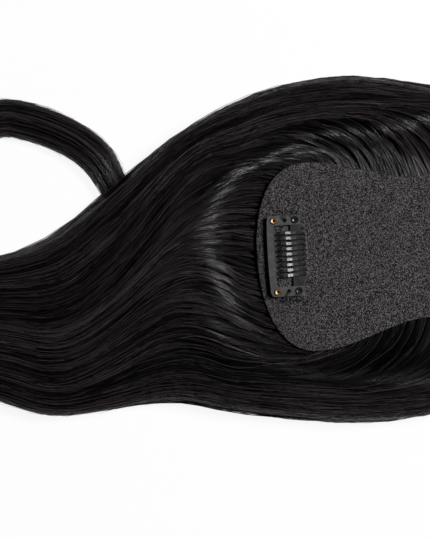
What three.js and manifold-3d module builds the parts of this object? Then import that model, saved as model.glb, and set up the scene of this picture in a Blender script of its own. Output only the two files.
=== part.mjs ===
// Hair topper lying face down, as seen from the side that is worn on the head. A waisted cloth base carries
// a snap comb clip near each end. The hair is rooted behind the base, leaves it all round and is combed to
// the left into one fall. The end of the fall curls round and lies back under it. Millimetres, +Z up, hair on
// Z = 0.
import * as THREE from "three";
import { mergeVertices } from "three/addons/utils/BufferGeometryUtils.js";
import Module from "manifold-3d";

const wasm = await Module();
wasm.setup();

// Cloth base
const BASE_LENGTH = 125;
const BASE_LOBE_WIDTH = 72;
const BASE_WAIST_WIDTH = 54;
const BASE_LOBE_PLACE = 41.5; // from the middle of the base to its widest section
const BASE_THICK = 2;
const BASE_EDGE_DROP = 1; // how far the soft edge hangs below the flat middle
const BASE_TURN = THREE.MathUtils.degToRad(5.2);
const BASE_UNDERSIDE = 14; // height of the base on its pile of hair

// Hair
const HAIR_WIDTH = 134;
const HAIR_DEPTH = 17;
const FALL_LENGTH = 163.5; // from the middle of the base to where the curl starts
const CURL_RADIUS = 39.8;
const CREST_RISE = 5.5; // how far a lock rolls up where it leaves the base
const ROLL_REACH = 14; // from the base's edge to the crest of the roll of hair round it
const ROLL_HEIGHT = 16.5;
const ROOT_INSET = 7; // how far inside the base's edge a lock starts
const LOCKS_PER_SIDE = 11;
const ROOT_HALF_WIDTH = 8.5;
const TAIL_LOCKS = 5;
const TAIL_SPREAD = 0.94; // how much of the course's width the tail's locks share out
const EDGE_DEPTH_SHARE = 0.45; // height of the outermost lock beside that of the middle one
const LOCK_OVERLAP = 1.35; // a lock's width beside the space between two locks
const ALTERNATE_RIDGE = 0.05; // every other lock stands this share higher, and the rest lower
const CORE_SHARE = 0.84; // height of the hair between the locks beside that of a lock

// Snap comb clip
const CLIP_LENGTH = 30.7;
const CLIP_WIDTH = 13.2;
const CLIP_BULGE = 0.8; // how far the back rail bows out
const CLIP_EDGE_INSET = 4; // from the end of the base to the back of the clip
const CLIP_SHIFT = 1.3; // off the base's middle line
const CLIP_TURN = THREE.MathUtils.degToRad(-1.6);
const SHEET_METAL = 0.6;
const TAB_LENGTH = 3.7; // of each end of the clip, along its length
const RAIL_WIDTH = 2.9;
const BAR_WIDTH = 3.9;
const TOOTH_COUNT = 9;
const TOOTH_PITCH = 2.1;
const TOOTH_WIDTH = 1;
const TOOTH_REACH = 15.5; // from the back of the clip to the tips
const TOOTH_ARCH = 1.7;
const TOOTH_SHIFT = 0.6;
const TOOTH_FAN = THREE.MathUtils.degToRad(0.65); // each tooth leans this much more than the one beside it
const EYELET_INSET = 3.2; // from the back of the clip
const SEWING_HOLE_INSET = 7.3; // from the back of the clip
const RIVET_INSET = 1.9; // from the front of the clip
const EYELET_BORE_RADIUS = 0.5;
const EYELET_BARREL_RADIUS = 0.75;
const EYELET_FLANGE_RADIUS = 1.3;
const EYELET_FLANGE_THICK = 0.35;
const RIVET_HEAD_RADIUS = 1.4;
const RIVET_HEAD_HEIGHT = 0.55;
const SEWING_HOLE_HALF = 1; // half the diagonal of the square sewing hole
const CLEARANCE = 0.3;

// The course of the hair. The fall's rows run from over the base to the left: along is a share of FALL_LENGTH
// from the base's middle, middle and half are shares of HAIR_WIDTH, and depth is a share of HAIR_DEPTH.
const FALL_ROWS = [
  { along: -0.012, middle: -0.013, half: 0.466, depth: 0.96 },
  { along: 0.141, middle: -0.006, half: 0.486, depth: 1 },
  { along: 0.294, middle: -0.009, half: 0.472, depth: 1 },
  { along: 0.435, middle: -0.028, half: 0.432, depth: 1 },
  { along: 0.577, middle: -0.064, half: 0.372, depth: 0.94 },
  { along: 0.718, middle: -0.145, half: 0.314, depth: 0.86 },
  { along: 0.859, middle: -0.224, half: 0.254, depth: 0.8 },
  { along: 1, middle: -0.23, half: 0.2, depth: 0.75 },
];
// The curl's rows turn about a centre one CURL_RADIUS above the end of the fall, turn in degrees.
const CURL_ROWS = [
  { turn: 45, half: 0.167, depth: 0.68 },
  { turn: 90, half: 0.121, depth: 0.6 },
  { turn: 135, half: 0.08, depth: 0.52 },
  { turn: 180, half: 0.052, depth: 0.46 },
];
// The tail's rows lead back under the fall: right and up are shares of CURL_RADIUS from the curl's centre.
const TAIL_ROWS = [
  { right: 0.286, up: 0.99, turn: 188, half: 0.05, depth: 0.44 },
  { right: 0.59, up: 0.895, turn: 205, half: 0.049, depth: 0.42 },
  { right: 0.87, up: 0.745, turn: 218, half: 0.047, depth: 0.4 },
  { right: 1.06, up: 0.555, turn: 228, half: 0.046, depth: 0.38 },
  { right: 1.19, up: 0.31, turn: 233, half: 0.04, depth: 0.34 },
  { right: 1.38, up: 0.005, turn: 238, half: 0.029, depth: 0.26 },
  { right: 1.525, up: -0.262, turn: 240, half: 0.014, depth: 0.14 },
];
// A lock's root is a share of the way round the base's edge from its left tip. At the course row joinRow it
// has turned into the fall, and lane is its place there, from 0 in the middle to 1 at the edge. Before that it
// runs straight out from the base for the share leave of the way to that place.
const LANE_ROWS = [
  { root: 0, joinRow: 4, lane: 0, leave: 0.35 },
  { root: 0.15, joinRow: 3.8, lane: 0.3, leave: 0.35 },
  { root: 0.3, joinRow: 3.2, lane: 0.6, leave: 0.35 },
  { root: 0.5, joinRow: 1.5, lane: 0.78, leave: 0.35 },
  { root: 0.75, joinRow: 0.7, lane: 0.9, leave: 0.45 },
  { root: 1, joinRow: 0, lane: 0.97, leave: 0.68 },
];
// Section of the roll of hair round the base: out is a share of ROLL_REACH and up a share of ROLL_HEIGHT.
const ROLL_ROWS = [
  { out: 1.3, up: 0 },
  { out: 1.35, up: 0.35 },
  { out: 1.15, up: 0.78 },
  { out: 0.8, up: 1 },
  { out: 0, up: 0.72 },
];
const LAST_FALL_ROW = FALL_ROWS.length - 1;
const LOCK_END_ROW = LAST_FALL_ROW + 1.4; // the fall's locks taper out in the curl
const TAIL_START_ROW = LAST_FALL_ROW - 1.6; // the tail's locks start inside the fall
const LAST_ROW = FALL_ROWS.length + CURL_ROWS.length + TAIL_ROWS.length - 1;

// Closed solids and the joins and cuts between them

const WELD_DISTANCE = 1e-4; // points nearer to each other than this are one point
const CURVE_SEGMENTS = 10; // of each curve of a plate's outline

function solidOf(geometry) {
  const bare = geometry.index ? geometry.toNonIndexed() : geometry.clone();
  bare.deleteAttribute("normal");
  bare.deleteAttribute("uv");
  const merged = mergeVertices(bare, WELD_DISTANCE);
  return new wasm.Manifold(
    new wasm.Mesh({
      numProp: 3,
      vertProperties: new Float32Array(merged.attributes.position.array),
      triVerts: new Uint32Array(merged.index.array),
    }),
  );
}

function geometryOf(solid) {
  const mesh = solid.getMesh();
  const geometry = new THREE.BufferGeometry();
  geometry.setAttribute("position", new THREE.BufferAttribute(new Float32Array(mesh.vertProperties), 3));
  geometry.setIndex(new THREE.BufferAttribute(new Uint32Array(mesh.triVerts), 1));
  return geometry;
}

function joined(geometries) {
  return geometries.map(solidOf).reduce((whole, next) => whole.add(next));
}

// A closed body through rings of points that all turn the same way and hold as many points each.
function loftGeometry(rings) {
  const count = rings[0].length;
  const positions = rings.flat().flatMap((point) => point.toArray());
  const faces = [];
  for (let ring = 0; ring + 1 < rings.length; ring++) {
    for (let i = 0; i < count; i++) {
      const here = ring * count + i;
      const next = ring * count + ((i + 1) % count);
      faces.push(here, next, next + count, here, next + count, here + count);
    }
  }
  const last = (rings.length - 1) * count;
  for (let i = 1; i + 1 < count; i++) {
    faces.push(0, i + 1, i, last, last + i, last + i + 1);
  }
  const geometry = new THREE.BufferGeometry();
  geometry.setAttribute("position", new THREE.Float32BufferAttribute(positions, 3));
  geometry.setIndex(faces);
  return geometry;
}

function plateGeometry(shape, thick, bottom) {
  const settings = { depth: thick, bevelEnabled: false, curveSegments: CURVE_SEGMENTS };
  const plate = new THREE.ExtrudeGeometry(shape, settings);
  return plate.translate(0, 0, bottom);
}

// Outline of the cloth base

const LOBE_END_HANDLE = 0.64; // handle up from the tip, as a share of the lobe's half width
const LOBE_TOP_HANDLE = 0.62; // handle back from the widest section, as a share of the way to the tip
const WAIST_HANDLES = [0.65, 0.33]; // handles of the run into the waist, as shares of the lobe's place

// Upper edge of the base from its left tip to its right tip, widened by grow all round.
function upperEdge(grow) {
  const end = BASE_LENGTH / 2 + grow;
  const lobe = BASE_LOBE_WIDTH / 2 + grow;
  const waist = BASE_WAIST_WIDTH / 2 + grow;
  const shoulder = BASE_LOBE_PLACE + (end - BASE_LOBE_PLACE) * LOBE_TOP_HANDLE;
  const [leave, arrive] = WAIST_HANDLES.map((share) => share * BASE_LOBE_PLACE);
  const left = [
    [[-end, 0], [-end, lobe * LOBE_END_HANDLE], [-shoulder, lobe], [-BASE_LOBE_PLACE, lobe]],
    [[-BASE_LOBE_PLACE, lobe], [-leave, lobe], [-arrive, waist], [0, waist]],
  ];
  const right = left.map((corners) => corners.map(([x, y]) => [-x, y]).reverse()).reverse();
  const path = new THREE.CurvePath();
  for (const corners of [...left, ...right]) {
    path.add(new THREE.CubicBezierCurve(...corners.map(([x, y]) => new THREE.Vector2(x, y))));
  }
  return path;
}

const EDGE_POINTS = 9; // along each of the four curves of half the outline
const FLAT_SHARE = 0.7; // the base's edge starts to drop at this share of the way out
const EDGE_RING_SHARE = 0.88; // of the ring between the flat middle and the edge

function baseOutline(grow) {
  const upper = upperEdge(grow).getPoints(EDGE_POINTS);
  const lower = upper.slice(1, -1).map((point) => new THREE.Vector2(point.x, -point.y));
  return [...lower, ...upper.reverse()];
}

function baseCloth() {
  const outline = baseOutline(0);
  const ringShares = [1, EDGE_RING_SHARE, FLAT_SHARE];
  const ringAt = (share, height) => {
    const drop = BASE_EDGE_DROP * ((share - FLAT_SHARE) / (1 - FLAT_SHARE)) ** 2;
    return outline.map((point) => new THREE.Vector3(point.x * share, point.y * share, height - drop));
  };
  const under = ringShares.map((share) => ringAt(share, BASE_UNDERSIDE)).reverse();
  const over = ringShares.map((share) => ringAt(share, BASE_UNDERSIDE + BASE_THICK));
  return geometryOf(solidOf(loftGeometry([...under, ...over])));
}

// Course of the hair in plan

const degrees = THREE.MathUtils.degToRad;
const curlStart = FALL_ROWS[LAST_FALL_ROW];
const curlCentre = new THREE.Vector2(
  -FALL_LENGTH * curlStart.along,
  HAIR_WIDTH * curlStart.middle + CURL_RADIUS,
);

const courseRows = [
  ...FALL_ROWS.map((row) => ({
    x: -FALL_LENGTH * row.along,
    y: HAIR_WIDTH * row.middle,
    turn: 0,
    half: row.half,
    depth: row.depth,
  })),
  ...CURL_ROWS.map((row) => ({
    x: curlCentre.x - CURL_RADIUS * Math.sin(degrees(row.turn)),
    y: curlCentre.y - CURL_RADIUS * Math.cos(degrees(row.turn)),
    turn: degrees(row.turn),
    half: row.half,
    depth: row.depth,
  })),
  ...TAIL_ROWS.map((row) => ({
    x: curlCentre.x + CURL_RADIUS * row.right,
    y: curlCentre.y + CURL_RADIUS * row.up,
    turn: degrees(row.turn),
    half: row.half,
    depth: row.depth,
  })),
];
const courseLine = new THREE.CatmullRomCurve3(
  courseRows.map((row) => new THREE.Vector3(row.x, row.y, row.turn)),
  false,
  "catmullrom",
);
const courseSize = new THREE.CatmullRomCurve3(
  courseRows.map((row) => new THREE.Vector3(row.half * HAIR_WIDTH, row.depth * HAIR_DEPTH, 0)),
  false,
  "catmullrom",
);

// The hair's section at a row of the course: its middle, the way across it, half its width and its height.
function sectionAt(row) {
  const share = Math.min(row / LAST_ROW, 1);
  const line = courseLine.getPoint(share);
  const size = courseSize.getPoint(share);
  return {
    middle: new THREE.Vector2(line.x, line.y),
    across: new THREE.Vector2(Math.sin(line.z), Math.cos(line.z)),
    half: size.x,
    depth: size.y,
  };
}

function lanePoint(row, lane) {
  const section = sectionAt(row);
  return section.middle.clone().addScaledVector(section.across, lane * section.half);
}

function laneHeight(row, lane) {
  const round = Math.sqrt(Math.max(0, 1 - lane * lane));
  return sectionAt(row).depth * (EDGE_DEPTH_SHARE + (1 - EDGE_DEPTH_SHARE) * round);
}

function laneRowFor(root) {
  const above = LANE_ROWS.findIndex((row) => row.root >= root);
  const [low, high] = [LANE_ROWS[Math.max(above - 1, 0)], LANE_ROWS[above]];
  const share = high === low ? 0 : (root - low.root) / (high.root - low.root);
  return {
    joinRow: THREE.MathUtils.lerp(low.joinRow, high.joinRow, share),
    lane: THREE.MathUtils.lerp(low.lane, high.lane, share),
    leave: THREE.MathUtils.lerp(low.leave, high.leave, share),
  };
}

// Locks

const LOCK_ARCH_POINTS = 6;
const TURN_STEPS = 6;
const ROWS_PER_STEP = 0.6;
const FLOOR_CUT = 1; // how far locks, core and roll reach below the floor before they are cut level with it
const TURN_JOIN_HANDLE = 0.4; // share of the way to the joining point, back along the fall
const LOCK_END_SHARE = 0.3; // size of a lock's end beside its full size
const ROW_NUDGE = 0.05; // row step that gives the fall's direction
const CORE_LANES = 9;
const CORE_ROW_STEP = 0.7;
const CORE_EDGE_INSET = 0.04; // how far the core stays inside the outer locks, as a share of half its width

// An arch across the path, with its feet below the floor.
function archRing(point, direction, halfWidth, height) {
  const across = new THREE.Vector2(-direction.y, direction.x);
  return Array.from({ length: LOCK_ARCH_POINTS }, (_, i) => {
    const angle = (Math.PI * i) / (LOCK_ARCH_POINTS - 1);
    const side = Math.cos(angle) * halfWidth;
    const up = i === 0 || i === LOCK_ARCH_POINTS - 1 ? -FLOOR_CUT : Math.sin(angle) * height;
    return new THREE.Vector3(point.x + across.x * side, point.y + across.y * side, up);
  });
}

function lockGeometry(stations) {
  const rings = stations.map((station, i) => {
    const before = stations[Math.max(i - 1, 0)].point;
    const after = stations[Math.min(i + 1, stations.length - 1)].point;
    const direction = after.clone().sub(before).normalize();
    return archRing(station.point, direction, station.halfWidth, station.height);
  });
  return loftGeometry(rings);
}

// A lock from under the base's edge into its lane of the fall; side is 1 above the base and -1 below it.
function fallLock(side, root, ridge) {
  const { joinRow, lane, leave } = laneRowFor(root);
  const edge = upperEdge(0);
  const tip = edge.getPointAt(root);
  const tangent = edge.getTangentAt(root);
  const outward = new THREE.Vector2(-tangent.y, tangent.x * side);
  const centre = new THREE.Vector2();
  const start = new THREE.Vector2(tip.x, tip.y * side).addScaledVector(outward, -ROOT_INSET);
  start.rotateAround(centre, BASE_TURN);
  outward.rotateAround(centre, BASE_TURN);
  const join = lanePoint(joinRow, side * lane);
  const back = join.clone().sub(lanePoint(joinRow + ROW_NUDGE, side * lane)).normalize();
  const way = join.distanceTo(start);
  const turn = new THREE.CubicBezierCurve(
    start,
    start.clone().addScaledVector(outward, way * leave),
    join.clone().addScaledVector(back, way * TURN_JOIN_HANDLE),
    join,
  );
  const laneHalf = (row) => (sectionAt(row).half / LOCKS_PER_SIDE / 2) * LOCK_OVERLAP;
  const rootHeight = BASE_UNDERSIDE - BASE_EDGE_DROP;
  const stations = [];
  for (let step = 0; step < TURN_STEPS; step++) {
    const share = step / TURN_STEPS;
    const level = THREE.MathUtils.lerp(rootHeight, laneHeight(joinRow, lane) * ridge, share);
    stations.push({
      point: turn.getPoint(share),
      halfWidth: THREE.MathUtils.lerp(ROOT_HALF_WIDTH, laneHalf(joinRow), share),
      height: level + CREST_RISE * Math.sin(Math.PI * share),
    });
  }
  const steps = Math.ceil((LOCK_END_ROW - joinRow) / ROWS_PER_STEP);
  for (let step = 0; step <= steps; step++) {
    const row = THREE.MathUtils.lerp(joinRow, LOCK_END_ROW, step / steps);
    const taper = step === steps ? LOCK_END_SHARE : 1;
    stations.push({
      point: lanePoint(row, side * lane),
      halfWidth: laneHalf(row) * taper,
      height: laneHeight(row, lane) * ridge * taper,
    });
  }
  return lockGeometry(stations);
}

// A lock of the tail, from inside the fall round the curl to the end that lies under the fall.
function tailLock(index) {
  const spread = (TAIL_SPREAD * (2 * index + 1 - TAIL_LOCKS)) / TAIL_LOCKS;
  const steps = Math.ceil((LAST_ROW - TAIL_START_ROW) / ROWS_PER_STEP);
  const stations = [];
  for (let step = 0; step <= steps; step++) {
    const row = THREE.MathUtils.lerp(TAIL_START_ROW, LAST_ROW, step / steps);
    const taper = step === 0 ? LOCK_END_SHARE : 1;
    stations.push({
      point: lanePoint(row, spread),
      halfWidth: (sectionAt(row).half / TAIL_LOCKS) * LOCK_OVERLAP * taper,
      height: laneHeight(row, spread) * taper,
    });
  }
  return lockGeometry(stations);
}

// The hair between and under the locks of the fall, from over the base into the curl.
function fallCore() {
  const lanes = Array.from({ length: CORE_LANES }, (_, i) => Math.cos((Math.PI * i) / (CORE_LANES - 1)));
  const rings = [];
  for (let row = 0; row <= LOCK_END_ROW; row += CORE_ROW_STEP) {
    const inset = 1 - CORE_EDGE_INSET;
    const ring = lanes.map((lane) => {
      const point = lanePoint(row, lane * inset);
      return new THREE.Vector3(point.x, point.y, laneHeight(row, lane) * CORE_SHARE);
    });
    const feet = [lanes.at(-1), lanes[0]].map((lane) => lanePoint(row, lane * inset));
    ring.push(...feet.map((foot) => new THREE.Vector3(foot.x, foot.y, -FLOOR_CUT)));
    rings.push(ring);
  }
  return loftGeometry(rings.map((ring) => ring.reverse()));
}

// The roll of hair round the base and the pile under it.
function roll() {
  const rings = ROLL_ROWS.map((row) => {
    const height = row.up > 0 ? row.up * ROLL_HEIGHT : -FLOOR_CUT;
    return baseOutline(row.out * ROLL_REACH).map((point) => new THREE.Vector3(point.x, point.y, height));
  });
  return loftGeometry(rings).rotateZ(BASE_TURN);
}

function hair() {
  const locks = [];
  for (const side of [1, -1]) {
    for (let i = 0; i < LOCKS_PER_SIDE; i++) {
      const ridge = 1 + (i % 2 ? ALTERNATE_RIDGE : -ALTERNATE_RIDGE);
      locks.push(fallLock(side, (i + 0.5) / LOCKS_PER_SIDE, ridge));
    }
  }
  for (let i = 0; i < TAIL_LOCKS; i++) {
    locks.push(tailLock(i));
  }
  const seat = BASE_UNDERSIDE - BASE_EDGE_DROP - CLEARANCE;
  const room = plateGeometry(new THREE.Shape(baseOutline(CLEARANCE)), HAIR_DEPTH * 2, seat);
  const mass = joined([roll(), fallCore(), ...locks]);
  const reach = 2 * (FALL_LENGTH + HAIR_WIDTH);
  const belowFloor = new THREE.BoxGeometry(reach, reach, 2 * FLOOR_CUT).translate(0, 0, -FLOOR_CUT);
  return geometryOf(mass.subtract(solidOf(room.rotateZ(BASE_TURN))).subtract(solidOf(belowFloor)));
}

// Snap comb clip, in its own frame: +X from the back rail to the tips, +Y along the clip, Z = 0 on the cloth

const CLIP_END = CLIP_LENGTH / 2;
const CLIP_BACK = -CLIP_WIDTH / 2;
const CLIP_FRONT = CLIP_WIDTH / 2;
const BAR_LEVEL = CLEARANCE;
const COMB_LEVEL = BAR_LEVEL + SHEET_METAL + CLEARANCE;
const TAB_MIDDLE = CLIP_END - TAB_LENGTH / 2;
const EYELET_PLACE = CLIP_BACK + EYELET_INSET;
const SEWING_HOLE_PLACE = CLIP_BACK + SEWING_HOLE_INSET;
const RIVET_PLACE = CLIP_FRONT - RIVET_INSET;
const FRONT_CORNER = 0.8; // rounding of an end tab's front corner
const BACK_CORNER = 2.2; // rounding of an end tab's back corner, along the clip
const WINDOW_CORNER = 1; // rounding between the rail and an end tab
const BACK_LEAN = 0.3; // how much farther back the rail starts than the end tab
const BOW_HANDLE = 0.2; // handle of the rail's bow, behind the back of the clip
const ARM_INSET = 0.4; // how far the lower plate stays inside the end tabs

function circleHole(x, y, radius) {
  return new THREE.Path().absarc(x, y, radius, 0, Math.PI * 2, true);
}

function squareHole(x, y) {
  const corners = [[1, 0], [0, -1], [-1, 0], [0, 1]];
  return new THREE.Path(
    corners.map(([u, v]) => new THREE.Vector2(x + u * SEWING_HOLE_HALF, y + v * SEWING_HOLE_HALF)),
  );
}

function tabHoles() {
  const barrelHole = EYELET_BARREL_RADIUS + CLEARANCE;
  return [TAB_MIDDLE, -TAB_MIDDLE].flatMap((y) => [
    circleHole(EYELET_PLACE, y, barrelHole),
    squareHole(SEWING_HOLE_PLACE, y),
    circleHole(RIVET_PLACE, y, barrelHole),
  ]);
}

// Back rail and both end tabs in one outline, open between the tabs towards the front.
function railAndTabs() {
  const endBack = CLIP_BACK + CLIP_BULGE;
  const tabInner = CLIP_END - TAB_LENGTH;
  const railFront = CLIP_BACK + RAIL_WIDTH;
  const shape = new THREE.Shape();
  shape.moveTo(CLIP_FRONT, -CLIP_END + FRONT_CORNER);
  shape.lineTo(CLIP_FRONT, -tabInner);
  shape.lineTo(railFront + WINDOW_CORNER, -tabInner);
  shape.quadraticCurveTo(railFront, -tabInner, railFront, -tabInner + WINDOW_CORNER);
  shape.lineTo(railFront, tabInner - WINDOW_CORNER);
  shape.quadraticCurveTo(railFront, tabInner, railFront + WINDOW_CORNER, tabInner);
  shape.lineTo(CLIP_FRONT, tabInner);
  shape.lineTo(CLIP_FRONT, CLIP_END - FRONT_CORNER);
  shape.quadraticCurveTo(CLIP_FRONT, CLIP_END, CLIP_FRONT - FRONT_CORNER, CLIP_END);
  shape.lineTo(endBack + BACK_CORNER / 2, CLIP_END);
  shape.quadraticCurveTo(endBack, CLIP_END, endBack - BACK_LEAN, CLIP_END - BACK_CORNER);
  shape.quadraticCurveTo(CLIP_BACK - BOW_HANDLE, 0, endBack - BACK_LEAN, -CLIP_END + BACK_CORNER);
  shape.quadraticCurveTo(endBack, -CLIP_END, endBack + BACK_CORNER / 2, -CLIP_END);
  shape.lineTo(CLIP_FRONT - FRONT_CORNER, -CLIP_END);
  shape.quadraticCurveTo(CLIP_FRONT, -CLIP_END, CLIP_FRONT, -CLIP_END + FRONT_CORNER);
  return shape;
}

const TOOTH_STEPS = 10;
const TOOTH_BEND = 0.6; // run of a tooth's bends at its root, before the front of the clip and at its tip
// Heights along a tooth, as shares of TOOTH_ARCH.
const TOOTH_ROOT_LIFT = 0.15;
const TOOTH_BAR_LIFT = 0.45;
const TOOTH_FRONT_LIFT = 0.3;
const TOOTH_TIP_LIFT = 0.35;

// Side view of a tooth: it leaves the rail, arches up, lies over the bar and dips at the tip.
function toothGeometry() {
  const railFront = CLIP_BACK + RAIL_WIDTH;
  const tip = CLIP_BACK + TOOTH_REACH;
  const overBar = CLIP_FRONT - BAR_WIDTH;
  const line = new THREE.SplineCurve([
    new THREE.Vector2(CLIP_BACK + RAIL_WIDTH / 2, 0),
    new THREE.Vector2(railFront + TOOTH_BEND, TOOTH_ARCH * TOOTH_ROOT_LIFT),
    new THREE.Vector2((railFront + overBar) / 2, TOOTH_ARCH),
    new THREE.Vector2(overBar, TOOTH_ARCH * TOOTH_BAR_LIFT),
    new THREE.Vector2(CLIP_FRONT - TOOTH_BEND, TOOTH_ARCH * TOOTH_FRONT_LIFT),
    new THREE.Vector2(tip - TOOTH_BEND, TOOTH_ARCH * TOOTH_TIP_LIFT),
    new THREE.Vector2(tip, -SHEET_METAL / 2),
  ]);
  const run = line.getPoints(TOOTH_STEPS);
  const upper = run.map((point) => new THREE.Vector2(point.x, point.y + SHEET_METAL));
  const side = new THREE.Shape([...run, ...upper.reverse()]);
  const tooth = new THREE.ExtrudeGeometry(side, { depth: TOOTH_WIDTH, bevelEnabled: false });
  return tooth.translate(0, 0, -TOOTH_WIDTH / 2).rotateX(Math.PI / 2);
}

function comb(holes) {
  const outline = railAndTabs();
  outline.holes.push(...holes);
  const pieces = [plateGeometry(outline, SHEET_METAL, 0)];
  for (let i = 0; i < TOOTH_COUNT; i++) {
    const place = i - (TOOTH_COUNT - 1) / 2;
    const tooth = toothGeometry().translate(-CLIP_BACK, 0, 0);
    tooth.rotateZ(-TOOTH_FAN * place);
    pieces.push(tooth.translate(CLIP_BACK, TOOTH_SHIFT + TOOTH_PITCH * place, 0));
  }
  return joined(pieces);
}

// The lower plate: the bar under the teeth and an arm under each end tab.
function barShape(holes) {
  const end = CLIP_END - ARM_INSET;
  const tabInner = CLIP_END - TAB_LENGTH + ARM_INSET;
  const armBack = EYELET_PLACE - EYELET_FLANGE_RADIUS;
  const barBack = CLIP_FRONT - BAR_WIDTH;
  const corners = [
    [CLIP_FRONT, -end], [CLIP_FRONT, end], [armBack, end], [armBack, tabInner],
    [barBack, tabInner], [barBack, -tabInner], [armBack, -tabInner], [armBack, -end],
  ];
  const shape = new THREE.Shape(corners.map(([x, y]) => new THREE.Vector2(x, y)));
  shape.holes.push(...holes);
  return shape;
}

const ROUND_SIDES = 14;
const FLANGE_RIM_SHARE = 0.4; // height of a flange's rim beside its full height
const FLANGE_BORE_SHARE = 0.8; // height of a flange at its bore beside its full height

// A hollow rivet with its flange on the comb; the head is domed when it is higher than a plain flange.
function hollowRivet(flangeRadius, flangeHeight) {
  const seat = COMB_LEVEL + SHEET_METAL + CLEARANCE;
  const profile = [
    [EYELET_BORE_RADIUS, BAR_LEVEL],
    [EYELET_BARREL_RADIUS, BAR_LEVEL],
    [EYELET_BARREL_RADIUS, seat],
    [flangeRadius, seat],
    [flangeRadius, seat + flangeHeight * FLANGE_RIM_SHARE],
    [(flangeRadius + EYELET_BARREL_RADIUS) / 2, seat + flangeHeight],
    [EYELET_BORE_RADIUS, seat + flangeHeight * FLANGE_BORE_SHARE],
    [EYELET_BORE_RADIUS, BAR_LEVEL],
  ];
  const points = profile.map(([x, y]) => new THREE.Vector2(x, y));
  return new THREE.LatheGeometry(points, ROUND_SIDES).rotateX(Math.PI / 2);
}

// A clip's pieces in its own frame, by name.
function snapClip() {
  const pieces = {
    clip_comb: geometryOf(comb(tabHoles())).translate(0, 0, COMB_LEVEL),
    clip_bar: plateGeometry(barShape(tabHoles()), SHEET_METAL, BAR_LEVEL),
  };
  for (const [end, y] of [["upper", TAB_MIDDLE], ["lower", -TAB_MIDDLE]]) {
    const eyelet = hollowRivet(EYELET_FLANGE_RADIUS, EYELET_FLANGE_THICK);
    const rivet = hollowRivet(RIVET_HEAD_RADIUS, RIVET_HEAD_HEIGHT);
    pieces[`brass_eyelet_${end}`] = eyelet.translate(EYELET_PLACE, y, 0);
    pieces[`black_rivet_${end}`] = rivet.translate(RIVET_PLACE, y, 0);
  }
  return pieces;
}

// The far clip in one plain piece: comb, arms and bar are one solid.
function plainClip() {
  const armThick = COMB_LEVEL + SHEET_METAL / 2 - BAR_LEVEL;
  const lower = plateGeometry(barShape([]), SHEET_METAL, BAR_LEVEL);
  const armShape = railAndTabs();
  const armReach = plateGeometry(armShape, armThick, BAR_LEVEL);
  const whole = comb([]).translate([0, 0, COMB_LEVEL]).add(solidOf(lower)).add(solidOf(armReach));
  return geometryOf(whole);
}

// Assembly

const finishes = {
  hair: new THREE.MeshStandardMaterial({ color: 0x171415, roughness: 0.45, metalness: 0 }),
  cloth: new THREE.MeshStandardMaterial({ color: 0x3b393b, roughness: 0.95, metalness: 0 }),
  metal: new THREE.MeshStandardMaterial({ color: 0x545254, roughness: 0.35, metalness: 0.9 }),
  brass: new THREE.MeshStandardMaterial({ color: 0xc89a5a, roughness: 0.3, metalness: 1 }),
};

function piece(name, geometry, material) {
  const mesh = new THREE.Mesh(geometry, material);
  mesh.name = name;
  return mesh;
}

const onCloth = BASE_UNDERSIDE + BASE_THICK;
const clipPlace = BASE_LENGTH / 2 - CLIP_EDGE_INSET - CLIP_WIDTH / 2;

const nearClip = new THREE.Group();
nearClip.position.set(-clipPlace, CLIP_SHIFT, onCloth);
nearClip.rotation.z = CLIP_TURN;
for (const [name, geometry] of Object.entries(snapClip())) {
  nearClip.add(piece(name, geometry, name.startsWith("brass") ? finishes.brass : finishes.metal));
}

const farClip = piece("far_clip", plainClip(), finishes.metal);
farClip.position.set(clipPlace, -CLIP_SHIFT, onCloth);
farClip.rotation.z = Math.PI;

const baseWithClips = new THREE.Group();
baseWithClips.rotation.z = BASE_TURN;
baseWithClips.add(piece("base_cloth", baseCloth(), finishes.cloth), nearClip, farClip);

const topper = new THREE.Group();
topper.add(baseWithClips, piece("hair", hair(), finishes.hair));

// The origin is under the middle of the whole topper, on the surface that it lies on.
const extent = new THREE.Box3().setFromObject(topper, true);
const middle = extent.getCenter(new THREE.Vector3());
topper.position.set(-middle.x, -middle.y, 0);

export default topper;
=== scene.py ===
"""Hair topper lying face down on a pale floor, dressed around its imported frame.

The side that is worn on the head faces up: a waisted cloth base with snap comb clips. The hair leaves
the base all round, rolls over a crest, sweeps to the left and curls back under itself. Metres, +Z up,
floor on Z = 0.
"""

import logging
import math
from dataclasses import dataclass, field
from enum import Enum

import bpy
import numpy as np
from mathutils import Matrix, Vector


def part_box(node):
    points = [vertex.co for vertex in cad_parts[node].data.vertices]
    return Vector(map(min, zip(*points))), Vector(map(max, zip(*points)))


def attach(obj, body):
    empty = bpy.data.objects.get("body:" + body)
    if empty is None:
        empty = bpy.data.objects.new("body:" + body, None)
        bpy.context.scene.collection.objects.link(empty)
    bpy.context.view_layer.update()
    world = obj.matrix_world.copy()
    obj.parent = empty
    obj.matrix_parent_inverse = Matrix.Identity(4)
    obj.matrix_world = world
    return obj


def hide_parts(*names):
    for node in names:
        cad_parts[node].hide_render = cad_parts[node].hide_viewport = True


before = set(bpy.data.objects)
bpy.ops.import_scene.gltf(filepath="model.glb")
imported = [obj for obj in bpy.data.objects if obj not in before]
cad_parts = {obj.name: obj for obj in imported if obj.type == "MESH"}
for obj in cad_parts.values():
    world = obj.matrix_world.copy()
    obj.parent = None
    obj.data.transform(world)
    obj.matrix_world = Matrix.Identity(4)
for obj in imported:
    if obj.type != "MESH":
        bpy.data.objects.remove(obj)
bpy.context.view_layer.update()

log = logging.getLogger("hair_topper")
MM = 0.001
BODY = "root"
TINY = 1e-9
# Share of a hair's way where the curl begins to narrow, and over how much of it
CURL_RUN = (0.5, 0.25)


class Side(Enum):
    """The two halves of the base's edge, seen from above."""

    UPPER = 1
    LOWER = -1


# Shader building


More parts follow.
